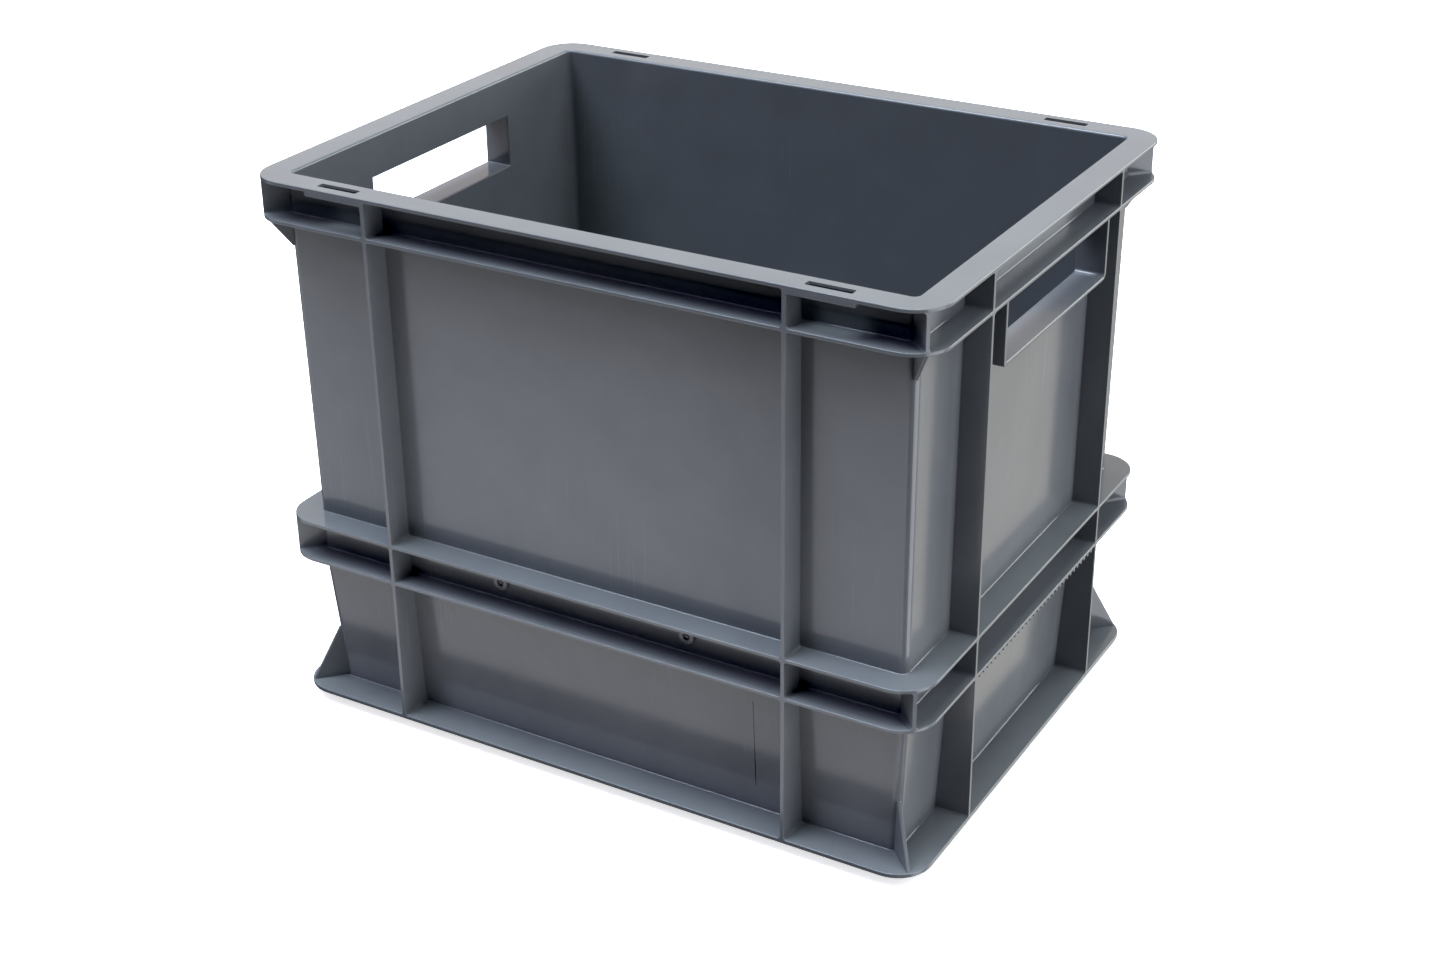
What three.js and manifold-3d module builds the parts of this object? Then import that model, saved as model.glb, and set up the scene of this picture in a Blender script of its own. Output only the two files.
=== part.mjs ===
// Stacking crate with two flanged bands, plain walls and a hand hole in each short side.
// Millimetres, +Z up. The origin is the centre of the underside of the stacking foot.
import * as THREE from "three";
import { mergeVertices } from "three/addons/utils/BufferGeometryUtils.js";
import Module from "manifold-3d";

// Outside size
const LENGTH = 400;
const WIDTH = 300;
const HEIGHT = 320;

// Levels, from the foot up
const FLOOR_UNDER = 2;
const FLOOR_TOP = 4.5;
const BASE_UNDER = 7;
const BASE_TOP = 9.5;
const MID_LOW_UNDER = 94.5;
const MID_LOW_TOP = 96.5;
const MID_HIGH_UNDER = 117.5;
const MID_HIGH_TOP = 119.5;
const TOP_LOW_UNDER = 296.5;
const TOP_LOW_TOP = 298.5;
const RIM_UNDER = 318;

// Wall faces, as the distance in from the outside size
const OUT_TOP = 14.5;
const OUT_ABOVE_MID = 15.5;
const OUT_MID = 15;
const OUT_BELOW_MID = 14.8;
const OUT_BASE = 19.5;
const IN_TOP = 17;
const IN_MID = 17.9;
const IN_BASE = 21.5;

// Corners
const FLANGE_RADIUS = 20;
const WALL_RADIUS = 5;
const INNER_RADIUS = 3;
const PANEL_END = 25;

// Where the slanting corner plates end, along X
const SPIKE_REACH = 194.05;

// How deep a plate's root sits in the wall that it grows from
const RIB_BITE = 1;
const PLATE_BITE = 2.5;
const GUSSET_BITE = 2.2;
const GUSSET_TIP = 0.8;

// Ribs and gussets
const RIB = 2;
const RIB_AT_LONG = 123;
const RIB_AT_SHORT = 83;
const GUSSET_TOP_OF_BASE = 42;
const GUSSET_FOOT_OF_TOP = 279;

// Hand holes; one lower corner is rounded and the other is nearly square
const HOLE_HALF = 65;
const HOLE_BOTTOM = 265;
const COLLAR = 2;
const HOLE_RADIUS = 2;
const COLLAR_RADIUS = 4;
const SQUARE_RADIUS = 0.6;

// Rim slots and the pads under them
const SLOT_LENGTH = 25;
const SLOT_WIDTH = 4.8;
const SLOT_RADIUS = 0.8;
const SLOT_X = 143.2;
const SLOT_Y = 142;
const PAD_END = 160;
const PAD_UNDER = 315.5;
const PAD_BITE = 1;

// Teeth under the mid band on the short sides, and the bosses in its channel
const TOOTH_PITCH = 5.1;
const TOOTH_SIDE_COUNT = 15;
const TOOTH_WIDTH = 2.2;
const TOOTH_DROP = 1.6;
const TOOTH_DEPTH = 1.4;
const TOOTH_BITE = 1.5;
const BOSS_X = 59;
const BOSS_Z = 107;
const BOSS_RADIUS = 4.5;
const BOSS_HOLE = 2;
const BOSS_DEPTH = 2;
const BOSS_BITE = 1;
const BOSS_HOLE_DEPTH = 1.5;
const ROUND_SIDES = 20;

// Runners under the floor
const RUNNER_PITCH = 65;

// The long and the short sides: how far out they are, where their panels end and where their ribs stand
const LONG = { reach: WIDTH / 2, end: LENGTH / 2 - PANEL_END, rib: RIB_AT_LONG };
const SHORT = { reach: LENGTH / 2, end: WIDTH / 2 - PANEL_END, rib: RIB_AT_SHORT };
const SIDES = {
  front: { along: [1, 0], out: [0, -1], ...LONG },
  right: { along: [0, 1], out: [1, 0], ...SHORT },
  back: { along: [-1, 0], out: [0, 1], ...LONG },
  left: { along: [0, -1], out: [-1, 0], ...SHORT },
};
const CORNERS = { front_right: [1, -1], back_right: [1, 1], back_left: [-1, 1], front_left: [-1, -1] };

const wasm = await Module();
wasm.setup();

// ---- solids ----

function solidOf(geometry) {
  const bare = geometry.clone();
  bare.deleteAttribute("normal");
  bare.deleteAttribute("uv");
  const merged = mergeVertices(bare, 1e-3);
  const mesh = new wasm.Mesh({
    numProp: 3,
    vertProperties: merged.attributes.position.array,
    triVerts: new Uint32Array(merged.index.array),
  });
  return new wasm.Manifold(mesh);
}

function geometryOf(solid) {
  const mesh = solid.getMesh();
  const geometry = new THREE.BufferGeometry();
  geometry.setAttribute("position", new THREE.BufferAttribute(mesh.vertProperties, 3));
  geometry.setIndex(new THREE.BufferAttribute(mesh.triVerts, 1));
  return geometry;
}

function joined(geometries) {
  return geometryOf(geometries.map(solidOf).reduce((whole, piece) => whole.add(piece)));
}

function cut(geometry, tool) {
  return geometryOf(solidOf(geometry).subtract(solidOf(tool)));
}

function facesOutward(points, index) {
  let sum = 0;
  for (let i = 0; i < index.length; i += 3) {
    const [a, b, c] = [points[index[i]], points[index[i + 1]], points[index[i + 2]]];
    sum += a.dot(new THREE.Vector3().crossVectors(b, c));
  }
  return sum > 0;
}

// The closed solid between two placings of one outline
function between(outline, near, far) {
  const n = outline.length;
  const points = [...outline.map(near), ...outline.map(far)];
  const index = [];
  const clockwise = THREE.ShapeUtils.isClockWise(outline);
  for (const [a, p, q] of THREE.ShapeUtils.triangulateShape(outline, [])) {
    const [b, c] = clockwise ? [q, p] : [p, q];
    index.push(a, c, b, a + n, b + n, c + n);
  }
  for (let i = 0; i < n; i++) {
    const j = (i + 1) % n;
    index.push(i, j, j + n, i, j + n, i + n);
  }
  if (!facesOutward(points, index)) {
    index.reverse();
  }
  const geometry = new THREE.BufferGeometry().setFromPoints(points);
  geometry.setIndex(index);
  return geometry;
}

function arc(cx, cy, radius, from, to, steps) {
  const points = [];
  for (let k = 0; k <= steps; k++) {
    const angle = THREE.MathUtils.degToRad(from + ((to - from) * k) / steps);
    points.push(new THREE.Vector2(cx + radius * Math.cos(angle), cy + radius * Math.sin(angle)));
  }
  return points;
}

// Rounded rectangle set in from the outside size
function plan(inset, radius) {
  const x = LENGTH / 2 - inset - radius;
  const y = WIDTH / 2 - inset - radius;
  const steps = radius > 10 ? 8 : 4;
  return [
    ...arc(x, y, radius, 0, 90, steps),
    ...arc(-x, y, radius, 90, 180, steps),
    ...arc(-x, -y, radius, 180, 270, steps),
    ...arc(x, -y, radius, 270, 360, steps),
  ];
}

function slotPlan(x, y) {
  const dx = SLOT_LENGTH / 2 - SLOT_RADIUS;
  const dy = SLOT_WIDTH / 2 - SLOT_RADIUS;
  return [
    ...arc(x + dx, y + dy, SLOT_RADIUS, 0, 90, 2),
    ...arc(x - dx, y + dy, SLOT_RADIUS, 90, 180, 2),
    ...arc(x - dx, y - dy, SLOT_RADIUS, 180, 270, 2),
    ...arc(x + dx, y - dy, SLOT_RADIUS, 270, 360, 2),
  ];
}

function plate(outline, holes, bottom, top) {
  const shape = new THREE.Shape(outline);
  shape.holes = holes.map((hole) => new THREE.Path(hole));
  const geometry = new THREE.ExtrudeGeometry(shape, { depth: top - bottom, bevelEnabled: false });
  return geometry.translate(0, 0, bottom);
}

function box(x0, x1, y0, y1, z0, z1) {
  const geometry = new THREE.BoxGeometry(x1 - x0, y1 - y0, z1 - z0);
  return geometry.translate((x0 + x1) / 2, (y0 + y1) / 2, (z0 + z1) / 2);
}

// A point on one side: s along it, n out from the centre, z up
function placed(side, s, n, z) {
  const { along, out } = side;
  return new THREE.Vector3(along[0] * s + out[0] * n, along[1] * s + out[1] * n, z);
}

function slope(z, z0, value0, z1, value1) {
  return value0 + ((value1 - value0) * (z - z0)) / (z1 - z0);
}

// ---- walls ----

const LOWER = {
  z0: BASE_TOP,
  z1: MID_LOW_UNDER,
  out0: OUT_BASE,
  out1: OUT_BELOW_MID,
  in0: IN_BASE,
  in1: IN_MID,
};
const UPPER = {
  z0: MID_HIGH_TOP,
  z1: TOP_LOW_UNDER,
  out0: OUT_ABOVE_MID,
  out1: OUT_TOP,
  in0: IN_MID,
  in1: IN_TOP,
};

function outer(wall, z) {
  return slope(z, wall.z0, wall.out0, wall.z1, wall.out1);
}

function inner(wall, z) {
  return slope(z, wall.z0, wall.in0, wall.z1, wall.in1);
}

function panel(side, wall, outline) {
  return between(
    outline,
    (p) => placed(side, p.x, side.reach - inner(wall, p.y), p.y),
    (p) => placed(side, p.x, side.reach - outer(wall, p.y), p.y),
  );
}

function plainOutline(side, wall) {
  return [
    new THREE.Vector2(-side.end, wall.z0),
    new THREE.Vector2(side.end, wall.z0),
    new THREE.Vector2(side.end, wall.z1),
    new THREE.Vector2(-side.end, wall.z1),
  ];
}

// U-shaped line round a hand hole, from its top right to its top left
function holeLine(half, bottom, radius) {
  return [
    new THREE.Vector2(half, TOP_LOW_UNDER),
    ...arc(half - radius, bottom + radius, radius, 0, -90, 4),
    ...arc(-half + SQUARE_RADIUS, bottom + SQUARE_RADIUS, SQUARE_RADIUS, -90, -180, 2),
    new THREE.Vector2(-half, TOP_LOW_UNDER),
  ];
}

function collarLine() {
  return holeLine(HOLE_HALF + COLLAR, HOLE_BOTTOM - COLLAR, COLLAR_RADIUS);
}

function notchedOutline(side, wall) {
  const [a, b, c, d] = plainOutline(side, wall);
  return [a, b, c, ...collarLine(), d];
}

function collar(side) {
  const outline = [...collarLine(), ...holeLine(HOLE_HALF, HOLE_BOTTOM, HOLE_RADIUS).reverse()];
  return between(
    outline,
    (p) => placed(side, p.x, side.reach - inner(UPPER, p.y), p.y),
    (p) => placed(side, p.x, side.reach, p.y),
  );
}

function cornerOutline(out, within) {
  const x = LENGTH / 2;
  const y = WIDTH / 2;
  return [
    new THREE.Vector2(x - PANEL_END, y - out),
    ...arc(x - out - WALL_RADIUS, y - out - WALL_RADIUS, WALL_RADIUS, 90, 0, 4),
    new THREE.Vector2(x - out, y - PANEL_END),
    new THREE.Vector2(x - within, y - PANEL_END),
    ...arc(x - within - INNER_RADIUS, y - within - INNER_RADIUS, INNER_RADIUS, 0, 90, 4),
    new THREE.Vector2(x - PANEL_END, y - within),
  ];
}

function wallCorner([sx, sy], wall) {
  const low = cornerOutline(wall.out0, wall.in0);
  const high = cornerOutline(wall.out1, wall.in1);
  return between(
    low,
    (p) => new THREE.Vector3(sx * p.x, sy * p.y, wall.z0),
    (p, i) => new THREE.Vector3(sx * high[i].x, sy * high[i].y, wall.z1),
  );
}

// ---- ribs ----

// Upright plate square to a side, from the wall face out to the outside size
function rib(side, s, z0, z1, inset0, inset1) {
  const outline = [
    new THREE.Vector2(side.reach - inset0, z0),
    new THREE.Vector2(side.reach, z0),
    new THREE.Vector2(side.reach, z1),
    new THREE.Vector2(side.reach - inset1, z1),
  ];
  return between(
    outline,
    (p) => placed(side, s - RIB / 2, p.x, p.y),
    (p) => placed(side, s + RIB / 2, p.x, p.y),
  );
}

// Upright plate across a corner's bisector; the outline gives x along the bisector, and z
function cornerPlate([sx, sy], outline) {
  const drop = (LENGTH - WIDTH) / 2;
  const half = RIB / 2 / Math.SQRT2;
  return between(
    outline,
    (p) => new THREE.Vector3(sx * (p.x - half), sy * (p.x - drop + half), p.y),
    (p) => new THREE.Vector3(sx * (p.x + half), sy * (p.x - drop - half), p.y),
  );
}

function channel(z0, z1, out, within) {
  const pieces = [plate(plan(out, WALL_RADIUS), [plan(within, INNER_RADIUS)], z0, z1)];
  for (const side of Object.values(SIDES)) {
    pieces.push(rib(side, -side.rib, z0, z1, out + RIB_BITE, out + RIB_BITE));
    pieces.push(rib(side, side.rib, z0, z1, out + RIB_BITE, out + RIB_BITE));
  }
  const root = LENGTH / 2 - out - PLATE_BITE;
  for (const corner of Object.values(CORNERS)) {
    const outline = [
      new THREE.Vector2(root, z0),
      new THREE.Vector2(SPIKE_REACH, z0),
      new THREE.Vector2(SPIKE_REACH, z1),
      new THREE.Vector2(root, z1),
    ];
    pieces.push(cornerPlate(corner, outline));
  }
  return pieces;
}

// Triangle from a flange up or down the wall's corner; its inner edge starts inside the wall and is cut back
function gusset(corner, wall, level, tip) {
  const atLevel = LENGTH / 2 - outer(wall, level) - GUSSET_BITE;
  const atTip = LENGTH / 2 - outer(wall, tip) - GUSSET_BITE;
  const outline = [
    new THREE.Vector2(atLevel, level),
    new THREE.Vector2(SPIKE_REACH, level),
    new THREE.Vector2(atTip + GUSSET_TIP, tip),
    new THREE.Vector2(atTip, tip),
  ];
  return cut(cornerPlate(corner, outline), wallCorner(corner, wall));
}

// ---- bands and floor ----

function flange(z0, z1, within) {
  return plate(plan(0, FLANGE_RADIUS), [plan(within, INNER_RADIUS)], z0, z1);
}

function toothedFlange() {
  const pieces = [flange(MID_LOW_UNDER, MID_LOW_TOP, IN_MID)];
  const z0 = MID_LOW_UNDER - TOOTH_DROP;
  const z1 = MID_LOW_UNDER + TOOTH_BITE;
  const x1 = LENGTH / 2;
  for (let k = -TOOTH_SIDE_COUNT; k <= TOOTH_SIDE_COUNT; k++) {
    const y0 = k * TOOTH_PITCH - TOOTH_WIDTH / 2;
    const y1 = y0 + TOOTH_WIDTH;
    pieces.push(box(x1 - TOOTH_DEPTH, x1, y0, y1, z0, z1));
    pieces.push(box(-x1, TOOTH_DEPTH - x1, y0, y1, z0, z1));
  }
  return joined(pieces);
}

function boss(x, out) {
  const face = WIDTH / 2 - OUT_MID;
  const length = BOSS_DEPTH + BOSS_BITE;
  const pin = new THREE.CylinderGeometry(BOSS_RADIUS, BOSS_RADIUS, length, ROUND_SIDES);
  const bore = new THREE.CylinderGeometry(BOSS_HOLE, BOSS_HOLE, 2 * BOSS_HOLE_DEPTH, ROUND_SIDES);
  pin.translate(x, out * (face + (BOSS_DEPTH - BOSS_BITE) / 2), BOSS_Z);
  bore.translate(x, out * (face + BOSS_DEPTH), BOSS_Z);
  return cut(pin, bore);
}

function midChannel() {
  const bosses = [boss(BOSS_X, -1), boss(-BOSS_X, -1), boss(BOSS_X, 1), boss(-BOSS_X, 1)];
  return joined([...channel(MID_LOW_TOP, MID_HIGH_UNDER, OUT_MID, IN_MID), ...bosses]);
}

function topChannel() {
  return joined(channel(TOP_LOW_TOP, RIM_UNDER, OUT_TOP, IN_TOP));
}

function rimFlange() {
  const ring = plate(plan(0, FLANGE_RADIUS), [plan(IN_TOP, INNER_RADIUS)], RIM_UNDER, HEIGHT);
  const pieces = [ring];
  const x0 = RIB_AT_LONG + RIB / 2;
  const y0 = WIDTH / 2 - OUT_TOP;
  for (const [sx, sy] of Object.values(CORNERS)) {
    const xs = [sx * x0, sx * PAD_END].sort((a, b) => a - b);
    const ys = [sy * y0, (sy * WIDTH) / 2].sort((a, b) => a - b);
    pieces.push(box(...xs, ...ys, PAD_UNDER, RIM_UNDER + PAD_BITE));
  }
  let rim = joined(pieces);
  for (const [sx, sy] of Object.values(CORNERS)) {
    const slot = slotPlan(sx * SLOT_X, sy * SLOT_Y);
    rim = cut(rim, plate(slot, [], PAD_UNDER - PAD_BITE, HEIGHT + PAD_BITE));
  }
  return rim;
}

function runner(y) {
  const x = LENGTH / 2 - IN_BASE;
  return box(-x, x, y - RIB / 2, y + RIB / 2, 0, FLOOR_UNDER);
}

// ---- assembly ----

const group = new THREE.Group();
group.name = "stacking_crate";

function add(name, geometry) {
  const material = new THREE.MeshStandardMaterial({ color: 0x6a6d72, roughness: 0.55, metalness: 0 });
  material.name = "grey_polypropylene";
  const mesh = new THREE.Mesh(geometry, material);
  mesh.name = name;
  group.add(mesh);
}

add("floor_panel", plate(plan(IN_BASE, INNER_RADIUS), [], FLOOR_UNDER, FLOOR_TOP));
add("floor_runner_front", runner(-RUNNER_PITCH));
add("floor_runner_middle", runner(0));
add("floor_runner_back", runner(RUNNER_PITCH));
add("stacking_foot", plate(plan(OUT_BASE, WALL_RADIUS), [plan(IN_BASE, INNER_RADIUS)], 0, BASE_UNDER));
add("base_flange", flange(BASE_UNDER, BASE_TOP, IN_BASE));
add("mid_lower_flange", toothedFlange());
add("mid_channel", midChannel());
add("mid_upper_flange", flange(MID_HIGH_UNDER, MID_HIGH_TOP, IN_MID));
add("top_lower_flange", flange(TOP_LOW_UNDER, TOP_LOW_TOP, IN_TOP));
add("top_channel", topChannel());
add("rim_flange", rimFlange());

for (const [name, side] of Object.entries(SIDES)) {
  const holed = name === "left" || name === "right";
  const upperOutline = holed ? notchedOutline(side, UPPER) : plainOutline(side, UPPER);
  add("lower_wall_" + name, panel(side, LOWER, plainOutline(side, LOWER)));
  add("upper_wall_" + name, panel(side, UPPER, upperOutline));
  if (holed) {
    add("handle_collar_" + name, collar(side));
  }
  for (const [end, s] of [["a", -side.rib], ["b", side.rib]]) {
    add("lower_rib_" + name + "_" + end, rib(side, s, LOWER.z0, LOWER.z1, LOWER.out0, LOWER.out1));
    add("upper_rib_" + name + "_" + end, rib(side, s, UPPER.z0, UPPER.z1, UPPER.out0, UPPER.out1));
  }
}

for (const [name, corner] of Object.entries(CORNERS)) {
  add("lower_corner_" + name, wallCorner(corner, LOWER));
  add("upper_corner_" + name, wallCorner(corner, UPPER));
  add("base_gusset_" + name, gusset(corner, LOWER, BASE_TOP, GUSSET_TOP_OF_BASE));
  add("top_gusset_" + name, gusset(corner, UPPER, TOP_LOW_UNDER, GUSSET_FOOT_OF_TOP));
}

export default group;
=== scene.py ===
import math

import bmesh
import bpy
from mathutils import Matrix, Vector


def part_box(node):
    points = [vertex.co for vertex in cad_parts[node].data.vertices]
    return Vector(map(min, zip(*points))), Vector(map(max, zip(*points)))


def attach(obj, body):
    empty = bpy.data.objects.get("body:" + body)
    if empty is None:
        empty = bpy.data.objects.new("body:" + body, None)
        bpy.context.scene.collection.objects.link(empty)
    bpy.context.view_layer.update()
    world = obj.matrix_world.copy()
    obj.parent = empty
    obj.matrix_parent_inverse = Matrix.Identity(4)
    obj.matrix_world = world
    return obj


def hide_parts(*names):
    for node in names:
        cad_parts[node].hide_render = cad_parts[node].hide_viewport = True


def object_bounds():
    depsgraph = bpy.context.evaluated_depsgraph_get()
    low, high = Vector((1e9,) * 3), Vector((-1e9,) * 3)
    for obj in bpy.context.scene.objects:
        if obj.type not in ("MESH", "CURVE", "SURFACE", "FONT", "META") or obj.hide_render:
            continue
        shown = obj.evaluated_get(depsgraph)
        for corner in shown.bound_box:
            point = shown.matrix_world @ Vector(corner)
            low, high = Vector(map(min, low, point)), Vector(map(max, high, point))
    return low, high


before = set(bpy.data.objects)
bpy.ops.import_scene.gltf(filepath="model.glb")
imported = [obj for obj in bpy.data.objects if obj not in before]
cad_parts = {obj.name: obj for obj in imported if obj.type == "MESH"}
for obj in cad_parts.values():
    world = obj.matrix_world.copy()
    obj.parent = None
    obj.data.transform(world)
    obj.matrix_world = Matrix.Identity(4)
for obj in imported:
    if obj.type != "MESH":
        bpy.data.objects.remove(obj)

bl_info = {
    "name": "Stacking Crate",
    "version": (1, 0, 0),
    "blender": (4, 5, 0),
    "location": "View3D > Sidebar > Crate",
    "description": "Builds the looks of a moulded stacking crate around its fixed frame",
    "category": "Add Mesh",
}

MM = 0.001
LOW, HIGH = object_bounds()
LENGTH = HIGH.x - LOW.x
WIDTH = HIGH.y - LOW.y

WELD = 0.001 * MM  # points closer than this become one point
NEAR = 0.1 * MM  # how near to a face an edge counts as lying on it
SHY = 0.02 * MM  # how far a piece keeps behind a flange's edge, so that no two faces share a plane
PAST = 5 * MM  # how far a cutter goes beyond what it cuts
CORNER_STEPS = 10  # facets round an upright corner
ROUND_STEPS = 4  # facets round an edge or a fillet
SHARP = math.radians(50)  # edges that turn by more than this are shaded as sharp, and get an edge round
WALL_ZONE = 30 * MM  # the short sides' walls lie within this of the crate's ends


def rib_offset(node, axis):
    """Middle of an upright rib's thickness, along an axis."""
    lowest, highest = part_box(node)
    return (lowest[axis] + highest[axis]) / 2


# Each side: the turn from +X to its outward direction, how far out it is, and the offset of its ribs.
# A side and the one opposite are the same, turned half round.
SIDES = {
    "front": (-90, WIDTH / 2, rib_offset("upper_rib_front_b", 0)),
    "right": (0, LENGTH / 2, rib_offset("upper_rib_right_b", 1)),
    "back": (90, WIDTH / 2, rib_offset("upper_rib_front_b", 0)),
    "left": (180, LENGTH / 2, rib_offset("upper_rib_right_b", 1)),
}
# The signs of each corner's X and Y
CORNERS = {
    "front_right": (1, -1),
    "back_right": (1, 1),
    "back_left": (-1, 1),
    "front_left": (-1, -1),
}


def low(node):
    """Height of a frame node's underside."""
    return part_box(node)[0].z


def top(node):
    """Height of a frame node's upper face."""
    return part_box(node)[1].z


def mid_underside():
    """Height of the mid band's underside; its lower flange is as thick as its upper one."""
    return low("mid_channel") - (top("mid_upper_flange") - low("mid_upper_flange"))


# ---- sizes and colours ----


def length(name, description, millimetres):
    """A length property with its default in millimetres."""
    return bpy.props.FloatProperty(
        name=name, description=description, default=millimetres * MM, min=0.0, unit="LENGTH", precision=5
    )


def hex_to_linear(code):
    """An sRGB hex colour as linear red, green, blue and alpha."""
    values = [int(code[i : i + 2], 16) / 255 for i in (0, 2, 4)]
    linear = [v / 12.92 if v <= 0.04045 else ((v + 0.055) / 1.055) ** 2.4 for v in values]
    return (*linear, 1.0)


def colour(name, description, code):
    """A colour property with its default as an sRGB hex code."""
    return bpy.props.FloatVectorProperty(
        name=name,
        description=description,
        default=hex_to_linear(code)[:3],
        subtype="COLOR",
        size=3,
        min=0.0,
        max=1.0,
    )


class CrateSizes(bpy.types.PropertyGroup):
    """Sizes of the mouldings that the frame leaves plain."""

    corner_radius: length("Corner radius", "Outside corner of the rim and the flanges", 20)
    wall_radius: length("Wall corner radius", "Outside corner of the walls", 5)
    inner_radius: length("Inner corner radius", "Inside corner of the walls", 3)
    out_top: length("Wall inset at the rim", "Outer wall face under the rim, in from the rim's edge", 14.5)
    out_above_mid: length("Wall inset above the mid band", "Outer wall face, in from the rim's edge", 15.5)
    out_mid: length("Wall inset in the mid band", "Outer wall face, in from the rim's edge", 15)
    out_below_mid: length("Wall inset below the mid band", "Outer wall face, in from the rim's edge", 14.8)
    out_base: length("Wall inset at the base", "Outer wall face, in from the rim's edge", 19.5)
    in_top: length("Inner inset at the rim", "Inner wall face, in from the rim's edge", 17)
    in_mid: length("Inner inset at the mid band", "Inner wall face, in from the rim's edge", 17.9)
    in_base: length("Inner inset at the base", "Inner wall face, in from the rim's edge", 21.5)
    edge_round: length("Edge round", "Radius on the thin edges of flanges and ribs", 0.4)
    rim_round: length("Rim round", "Radius where the rim turns into the inner wall", 1.6)
    fillet: length("Fillet", "Inside radius where a flange leaves the wall", 0.6)
    rib: length("Rib thickness", "Thickness of the upright ribs and corner plates", 2)
    flare: length("Rib flare", "Radius where a rib's end meets a flange", 1.6)
    root_fillet: length("Rib root fillet", "Inside radius where a rib leaves the wall", 0.8)
    hole_half: length("Half hand hole", "Half the width of a hand hole", 65)
    hole_bottom: length("Hand hole height", "Lower edge of a hand hole above the ground", 265)
    hole_radius: length("Hand hole radius", "Rounded lower corner of a hand hole", 2)
    hole_square: length("Hand hole square corner", "Radius of the nearly square lower corner", 0.6)
    hole_edge: length("Hand hole edge", "Round on the hand hole's edge inside the crate", 0.8)
    collar_radius: length("Collar radius", "Rounded lower corner of a collar", 4)
    collar: length("Collar thickness", "Thickness of the collar round a hand hole", 2)
    slot_length: length("Slot length", "Length of a slot in the rim", 25)
    slot_width: length("Slot width", "Width of a slot in the rim", 4.8)
    slot_radius: length("Slot corner radius", "Corners of a slot", 0.8)
    slot_x: length("Slot place along", "Middle of a slot from the crate's middle, along its length", 143.2)
    slot_y: length("Slot place across", "Middle of a slot from the crate's middle, across its width", 142)
    pad_end: length("Pad end", "End of the thick pad beside a slot, from the crate's middle", 160)
    pad_drop: length("Pad drop", "How far a pad hangs under the rim", 2.5)
    tooth_pitch: length("Tooth pitch", "Distance between the small teeth under the mid band", 5.1)
    tooth_width: length("Tooth width", "Width of a tooth", 2.2)
    tooth_drop: length("Tooth drop", "How far a tooth hangs under the band", 1.6)
    tooth_depth: length("Tooth depth", "How far a tooth reaches in from the edge", 1.4)
    teeth_each_way: bpy.props.IntProperty(
        name="Teeth each way", description="Teeth on each side of the middle one", default=15, min=0
    )
    boss_x: length("Boss place", "Middle of a boss from the crate's middle", 59)
    boss_z: length("Boss height", "Middle of a boss above the ground", 107)
    boss_radius: length("Boss radius", "Outer radius of a round boss", 4.5)
    boss_bore: length("Boss bore", "Radius of the dimple in a boss", 2)
    boss_depth: length("Boss depth", "How far a boss stands out of the channel wall", 2)


class CrateColours(bpy.types.PropertyGroup):
    """Colours of the plastic and the stage."""

    plastic: colour("Plastic", "The grey of the moulded plastic", "66686B")
    plastic_shade: colour("Plastic shade", "The darker streaks of pigment in the plastic", "626467")
    scuff: colour("Scuff", "Whitened plastic where crates rub", "A9AAAC")
    scratch: colour("Scratch", "Dirt in a deep scratch", "1E1F21")
    floor: colour("Floor", "The studio floor", "F2F2F2")


# ---- mesh helpers ----


def arc(centre, radius, start, end, corner):
    """Rings along an arc of a profile, as (inset, height, corner radius), with angles in degrees.

    The corner gives an inset and the outline's corner radius there, which shrinks further in."""
    points = []
    for k in range(ROUND_STEPS + 1):
        angle = math.radians(start + (end - start) * k / ROUND_STEPS)
        points.append((centre[0] + radius * math.cos(angle), centre[1] + radius * math.sin(angle)))
    return [(x, z, corner[1] + corner[0] - x) for x, z in points]


def rounded(corners):
    """Rings of a profile whose corners are given as (inset, height, round, corner radius)."""
    rings = []
    for i, (x, z, radius, corner) in enumerate(corners):
        if not radius:
            rings.append((x, z, corner))
            continue
        here = Vector((x, z))
        before = Vector(corners[i - 1][:2]) - here
        after = Vector(corners[(i + 1) % len(corners)][:2]) - here
        half = before.angle(after) / 2
        reach = radius / math.tan(half)
        middle = here + (before.normalized() + after.normalized()).normalized() * radius / math.sin(half)
        start = here + before.normalized() * reach - middle
        end = here + after.normalized() * reach - middle
        first = math.degrees(math.atan2(start.y, start.x))
        turn = math.degrees(math.atan2(end.y, end.x)) - first
        turn = (turn + 180) % 360 - 180
        rings += arc(middle, radius, first, first + turn, (x, corner))
    return rings


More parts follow.
